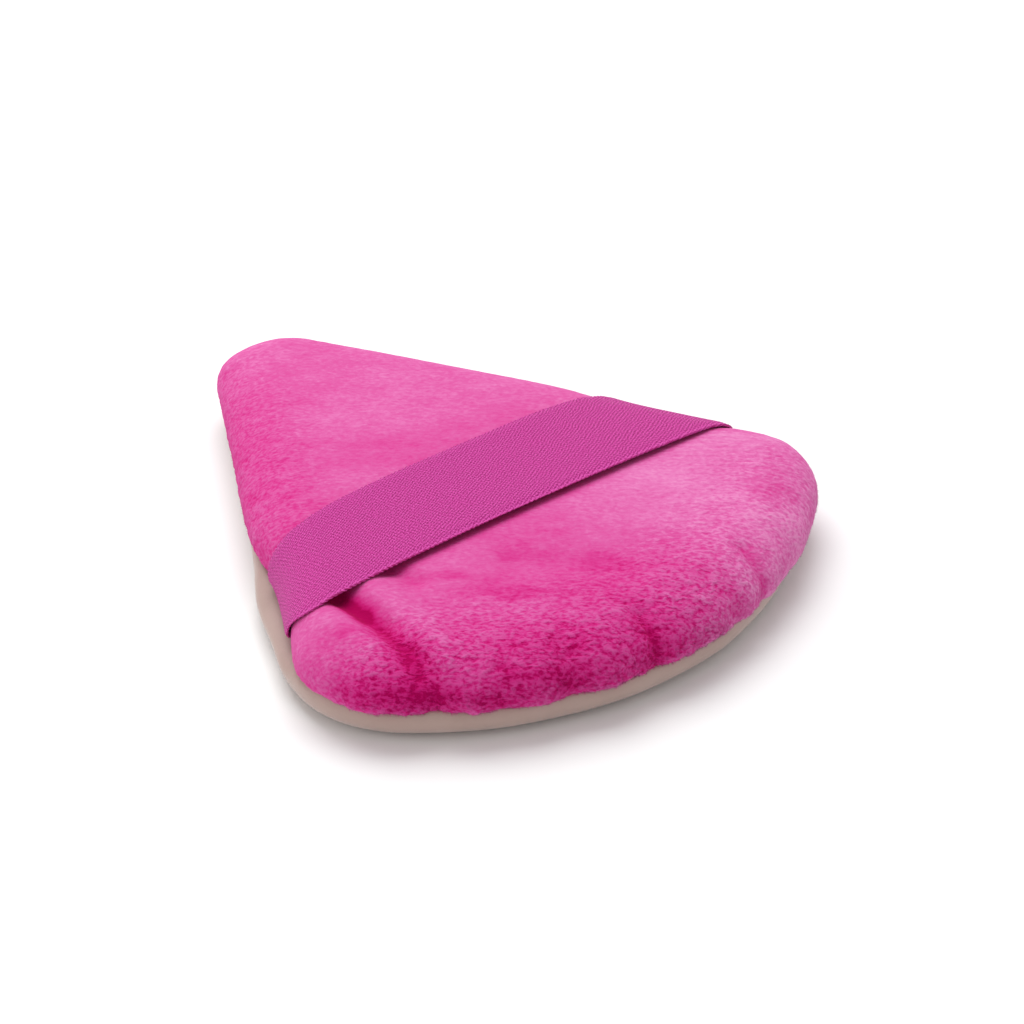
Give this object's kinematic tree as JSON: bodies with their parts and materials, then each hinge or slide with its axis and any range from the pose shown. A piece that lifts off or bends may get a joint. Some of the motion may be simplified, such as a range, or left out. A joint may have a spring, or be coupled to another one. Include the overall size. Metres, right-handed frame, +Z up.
{
  "type": "powder puff",
  "caption": "Slice-shaped cosmetic puff with a gathered velour top, a smooth flat skin underneath and a ribbon finger band that lifts off the crown.",
  "frame": {"origin": "centre of the puff's outline, on the flat underside", "axes": "+Z up through the crown, +Y from the bowed front edge to the tip, +X along the ribbon"},
  "size_m": [0.0702, 0.0809, 0.0124],
  "materials": {
    "velour": "matte",
    "skin": "matte",
    "ribbon": "matte",
    "foam": "matte",
    "wadding": "matte",
    "pink_thread": "matte",
    "beige_thread": "matte",
    "ribbon_thread": "matte"
  },
  "bodies": {
    "puff": {"velour_cover": "velour", "base_skin": "skin", "foam_core": "foam", "wadding_pad": "wadding", "seam_needle_thread": "pink_thread", "seam_bobbin_thread": "beige_thread", "band_basting_left": "ribbon_thread", "band_basting_right": "ribbon_thread", "closing_thread": "pink_thread"},
    "band": {"finger_band": "ribbon"}
  },
  "joints": [
    {"name": "band_lift", "type": "slide", "parent": "puff", "child": "band", "axis": [0, 0, 1], "range_m": [0, 0.009], "stiffness_N_per_m": 120, "deforming": ["finger_band"]}
  ]
}
